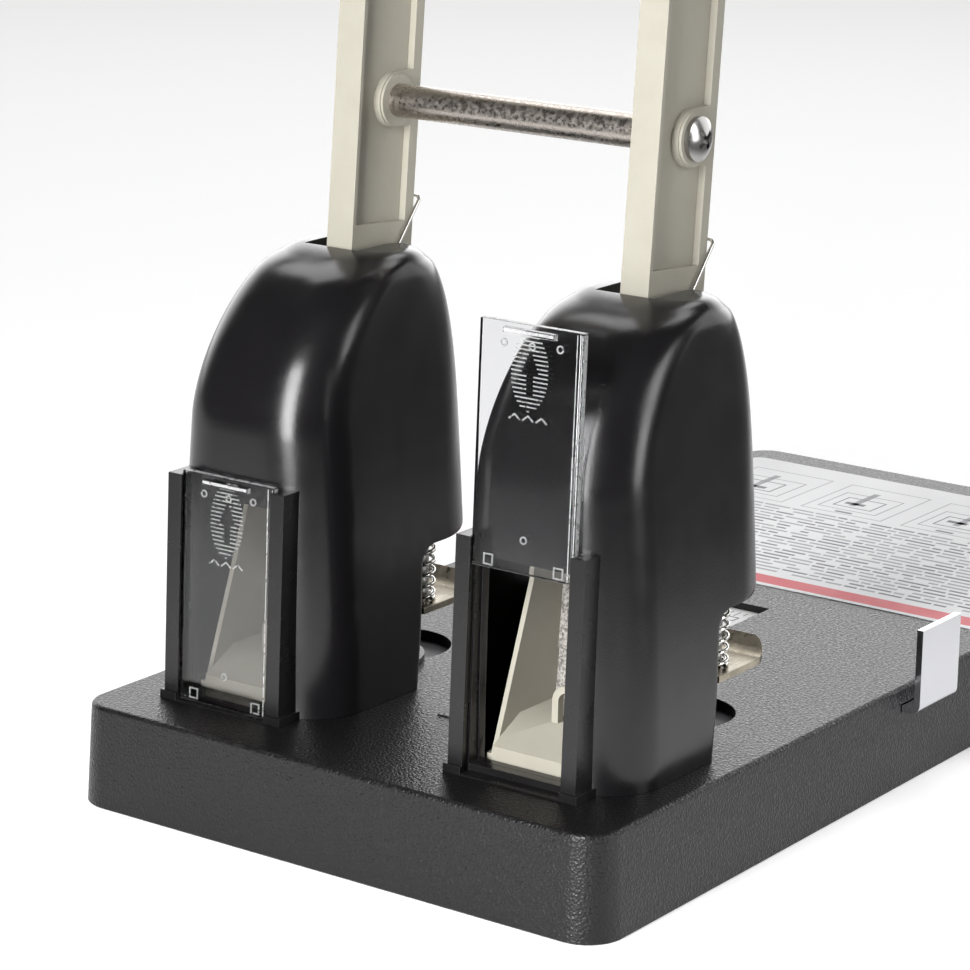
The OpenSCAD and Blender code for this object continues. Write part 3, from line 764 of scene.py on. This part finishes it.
def window_marks():
    """Moulded ribs in an oval with an arrow, chevrons, ejector rings and corner pads."""
    bm = bmesh.new()
    oval_z = WINDOW_H - 9.8
    half_w, half_h, pitch, step = 4.7, 8.3, 0.92, 0.15
    depth = 0.1
    rows = int(half_h / pitch)
    for row in range(-rows, rows + 1):
        y = row * pitch
        reach = half_w * math.sqrt(1 - (y / half_h) ** 2)
        start = None
        count = int(2 * reach / step)
        for k in range(count + 1):
            x = -reach + k * step
            free = inside_arrow(x, y) or k == count
            if start is None and not free:
                start = x
            elif start is not None and free:
                add_block(bm, start, x, -depth, 0.02, oval_z + y - 0.14, oval_z + y + 0.14)
                start = None
    # chevrons below the oval
    for k in (-1, 0, 1):
        for s in (-1, 1):
            made = add_block(bm, -0.9, 0.9, -depth, 0.02, -0.18, 0.18)
            slope = Matrix.Rotation(s * math.radians(38), 3, "Y")
            bmesh.ops.rotate(bm, cent=(0, 0, 0), matrix=slope, verts=made)
            bmesh.ops.translate(bm, vec=(k * 3.4 + s * 0.68, 0, WINDOW_H - 19.6), verts=made)
    for x, down in ((-6.7, 4.4), (0.4, 4.4), (7.4, 4.0), (0.2, 45.6)):
        add_ring(bm, x, WINDOW_H - down, 0.72, 0.2)
    # hollow square pads in the lower corners
    pad_z, reach, long, thin = 1.9, 1.1, 1.25, 0.16
    for x in (-8.6, 9.3):
        for dx, dz, w, h in ((0, reach, long, thin), (0, -reach, long, thin),
                             (reach, 0, thin, long), (-reach, 0, thin, long)):
            add_block(bm, x + dx - w, x + dx + w, -0.2, 0.02, pad_z + dz - h, pad_z + dz + h)
    return bm


def build_windows():
    for name, side in SIDES.items():
        for stem, draw, look, replaced in (
            ("window_panel", window_panel, LOOKS["clear_plastic"], [f"chip_window_{name}"]),
            ("window_marks", window_marks, MARK_LOOK, []),
            # pale skins on the panel's edges: painted highlights
            ("window_edge_highlights", window_edge_highlights, EDGE_HIGHLIGHT_LOOK, []),
        ):
            bm = draw()
            leaned(bm, side, WINDOW_LIFT[name])
            piece = object_from(f"{stem}_{name}", bm)
            finish_piece(piece, f"window_{name}_body", look, replaced)


# ---- springs ----

def build_presser_springs():
    foot, top, wire_r, turns, steps = 42.1, 61.8, 0.5, 8.5, 18
    for name, side in SIDES.items():
        coils = []
        for s in (-1, 1):
            points = []
            count = int(turns * steps)
            for k in range(count + 1):
                turn = 2 * math.pi * k / steps
                share = k / count
                # the end coils lie flat
                eased = min(1, max(0, (share * turns - 0.7) / (turns - 1.4)))
                z = foot + wire_r + (top - foot - 2 * wire_r) * eased
                points.append((
                    side * TOWER_X + s * SPRING_X + SPRING_R * math.cos(turn),
                    SPRING_Y + SPRING_R * math.sin(turn),
                    z,
                ))
            coils.append(tube("coil", points, wire_r))
        pair = join(f"presser_coils_{name}", coils)
        finish_piece(pair, f"presser_{name}_body", LOOKS["spring_steel"],
                     [f"presser_springs_{name}"], 60)
        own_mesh(pair)


def build_return_springs():
    """Coil round the pivot, a leg up the arm's right face and a hook behind the arm."""
    leg_x, wire_r, coil_r, turns, steps = 4.45, 0.45, 4.6, 4, 24
    pivot_y, pivot_z = -95, 88
    for name, side in SIDES.items():
        x = side * TOWER_X
        points = []
        for k in range(turns * steps + 1):
            turn = 2 * math.pi * k / steps
            points.append((
                x + leg_x + (turns * steps - k) * 0.98 / steps,
                pivot_y + coil_r * math.cos(turn),
                pivot_z + coil_r * math.sin(turn),
            ))
        tip = (x + leg_x, -67.6, 132.3)
        leg = [points[-1], (x + leg_x, -90.3, 104.6), (x + leg_x, -89.3, 106.7), tip,
               (x + leg_x - 1.2, -67.2, 132.9), (x - 3.6, -67.7, 132.2)]
        wire = tube(f"return_spring_{name}", points[:-1] + rounded_path(leg, 0.8), wire_r)
        finish_piece(wire, "lever", LOOKS["spring_steel"], [f"torsion_spring_{name}"], 60)


# ---- label and scale ----

def build_label():
    rng = random.Random(7)
    ink_t = 0.02
    dark, pale, band = bmesh.new(), bmesh.new(), bmesh.new()

    def print_block(bm, x0, x1, y0, y1):
        add_block(bm, x0, x1, y0, y1, LABEL_TOP - 0.05, LABEL_TOP + ink_t)

    def frame_lines(bm, x0, x1, y0, y1, width):
        print_block(bm, x0, x1, y0, y0 + width)
        print_block(bm, x0, x1, y1 - width, y1)
        print_block(bm, x0, x0 + width, y0, y1)
        print_block(bm, x1 - width, x1, y0, y1)

    box_w, box_pitch, box_y0, box_y1, boxes = 25.2, 31.2, 98.5, 127, 4
    first = -(boxes - 1) * box_pitch / 2 - box_w / 2
    for k in range(boxes):
        x0 = first + k * box_pitch
        frame_lines(pale, x0, x0 + box_w, box_y0, box_y1, 0.35)
        # a plain drawing: a sheet on a machine's bed, with its lever
        frame_lines(pale, x0 + 3, x0 + box_w - 4, box_y0 + 4, box_y1 - 8, 0.4)
        frame_lines(dark, x0 + 6, x0 + 17 + k, box_y0 + 7, box_y1 - 12, 0.45)
        print_block(dark, x0 + 8, x0 + 14, box_y0 + 9 + k, box_y0 + 11 + k)
        print_block(pale, x0 + 9 + k, x0 + 11 + k, box_y0 + 9, box_y1 - 5)
        print_block(dark, x0 + box_w / 2 - 2.6, x0 + box_w / 2 + 2.6, box_y0 + 1.2, box_y0 + 2.4)
    # rows of short strokes stand for small print
    row_y, row_pitch, stroke_h = 94.2, 2.6, 1.0
    while row_y > 39:
        x = -62.0
        while x < 61:
            length = min(rng.uniform(2.5, 9), 62 - x)
            print_block(pale if rng.random() < 0.6 else dark, x, x + length, row_y, row_y + stroke_h)
            x += length + rng.choice((0.8, 0.8, 1.1, 4.5))
        row_y -= row_pitch
    print_block(band, -63.5, 63.5, 29.7, 35.9)
    for name, bm, look in (("small_print", dark, INK_LOOK), ("pale_print", pale, PALE_INK_LOOK),
                           ("band", band, BAND_LOOK)):
        printed = object_from(f"label_{name}", bm)
        finish_piece(printed, "base", look)


def build_scale():
    """Tick marks and a small frame on the scale plate under its window."""
    bm = bmesh.new()
    low, high = SCALE_TOP - 0.05, SCALE_TOP + 0.03
    for k in range(-6, 7):
        reach = 3.6 if k % 2 == 0 else 2.2
        add_block(bm, k * 2 - 0.12, k * 2 + 0.12, 9.6 - reach, 9.6, low, high)
    for x0, x1, y0, y1 in ((6.5, 10.2, 2.2, 2.6), (6.5, 10.2, 5, 5.4),
                           (6.5, 6.9, 2.2, 5.4), (9.8, 10.2, 2.2, 5.4)):
        add_block(bm, x0, x1, y0, y1, low, high)
    marks = object_from("scale_marks", bm)
    finish_piece(marks, "base", INK_LOOK)


# ---- metal and painted pieces that keep their CAD shape ----

ROUNDED = {
    "frame": ("base", "cream_paint", 0.5),
    "frame_column": ("base", "cast_metal", 0.4),
    "guide_frame": ("base", "guide_plastic", 0.3),
    "lever_arm": ("lever", "cream_paint", 0.55),
    "cutting_disc": ("base", "disc_plastic", 0.35),
}
ROUNDED_ONCE = {
    "paper_guide": ("paper_guide_body", "guide_chrome", 0.3),
    "bottom_cover": ("base", "base_plastic", 0.4),
    "handle_grip": ("lever", "grip_rubber", 0.5),
    "scale_strip": ("base", "scale_film", 0.1),
}


def build_rounded():
    jobs = [(f"{stem}_{name}", *how) for stem, how in ROUNDED.items() for name in SIDES]
    jobs += [(f"presser_plate_{name}", f"presser_{name}_body", "presser_plating", 0.25) for name in SIDES]
    jobs += [(node, *how) for node, how in ROUNDED_ONCE.items()]
    for node, body, slot, bevel in jobs:
        finish_piece(rounded_copy(node, bevel), body, LOOKS[slot], [node])


def dress_frame():
    """Carried-over CAD nodes take the look of their material slot."""
    slots = {part["node"]: part["material_slot"] for part in frame["record"]["subparts"]}
    for name, node in frame["nodes"].items():
        for k in range(len(node.material_slots)):
            node.material_slots[k].material = LOOKS[slots[name]]


# ---- stage, light and camera ----

def build_stage():
    """A white floor with a painted pool of light: white and glowing where lit, falling off to painted grey
    shade in front of the punch and to its right.
    """
    bm = bmesh.new()
    add_block(bm, -6000, 6000, -6000, 6000, -20, 0)
    floor = object_from("floor", bm)
    look = Finish("floor_look", (0.74, 0.74, 0.74), 0.9)
    to_the_right = along(look.tree, look.points, (0.89, 0.455, 0))
    to_the_front = along(look.tree, look.points, (0.2, -0.98, 0))
    left_share = look.spread(to_the_right, 0.12, 0.32, 1, 0)
    rear_share = look.spread(to_the_front, 0.25, 0.42, 1, 0)
    # painted pool of light on the floor, with painted grey shade outside it
    painted_light_pool = product(look.tree, left_share, rear_share)
    look.color(look.mixed(painted_light_pool, (0.15, 0.15, 0.15), (0.74, 0.74, 0.74)))
    look.surface.inputs["Emission Color"].default_value = (1, 1, 1, 1)
    # the lit part of the floor glows: painted light, not a lamp
    look.feed(look.surface, "Emission Strength", look.spread(painted_light_pool, 0, 1, 0, 0.35))
    floor.data.materials.append(look.material)


LIGHT_AIM = (0, -95, 70)


def softbox(name, azimuth, elevation, distance, width, height, power):
    """A soft panel seen from the towers at that azimuth from +X and elevation, in degrees and metres."""
    light = bpy.data.lights.new(name, "AREA")
    light.shape = "RECTANGLE"
    light.size, light.size_y, light.energy = width, height, power
    turn, lift = math.radians(azimuth), math.radians(elevation)
    away = Vector((math.cos(turn) * math.cos(lift), math.sin(turn) * math.cos(lift), math.sin(lift)))
    made = new_object(name, light)
    made.location = Vector(LIGHT_AIM) * MM + away * distance
    made.rotation_mode = "QUATERNION"
    made.rotation_quaternion = away.to_track_quat("Z", "Y")


def build_light():
    softbox("key_panel", -81, 15, 0.55, 0.19, 0.56, 7.6)
    softbox("side_panel", 13, 14, 1.3, 0.36, 1.0, 7.5)
    softbox("rear_panel", 60, 20, 1.4, 0.6, 1.0, 3)
    softbox("top_panel", 126, 53, 1.8, 1.4, 0.9, 12.5)
    world = bpy.data.worlds.new("studio")
    world.use_nodes = True
    tree = world.node_tree
    nodes, links = tree.nodes, tree.links
    direction = nodes.new("ShaderNodeTexCoord").outputs["Generated"]
    # a bright backdrop stands behind the punch, up to a third of the way to overhead
    behind = smooth_step(tree, along(tree, direction, (-0.57, 0.82, 0)), 0.45, 0.9, 0, 3.1)
    height = nodes.new("ShaderNodeSeparateXYZ")
    links.new(direction, height.inputs["Vector"])
    backdrop = product(tree, behind, smooth_step(tree, height.outputs["Z"], 0.3, 0.55, 1, 0))
    strength = nodes.new("ShaderNodeMath")
    strength.operation = "ADD"
    strength.inputs[1].default_value = 0.07
    links.new(backdrop, strength.inputs[0])
    links.new(strength.outputs["Value"], nodes["Background"].inputs["Strength"])
    nodes["Background"].inputs["Color"].default_value = (1, 1, 1, 1)
    bpy.context.scene.world = world
    bpy.context.scene.view_settings.view_transform = "Standard"


def build_camera():
    """The camera stands at the front right, slightly above the towers."""
    data = bpy.data.cameras.new("camera")
    data.lens = 130
    data.sensor_width = 36
    camera = new_object("camera", data)
    right = Vector((0.8102, 0.5859, 0.0148))
    forward = Vector((-0.5623, 0.7842, -0.2624)).normalized()
    up = right.cross(forward).normalized()
    right = forward.cross(up)
    turn = Matrix((right, up, -forward)).transposed()
    camera.matrix_world = Matrix.Translation(Vector((441.65, -705.5, 280.64)) * MM) @ turn.to_4x4()
    bpy.context.scene.camera = camera


dress_frame()
build_base()
build_towers()
build_windows()
build_presser_springs()
build_return_springs()
build_label()
build_scale()
build_rounded()
build_stage()
build_light()
build_camera()
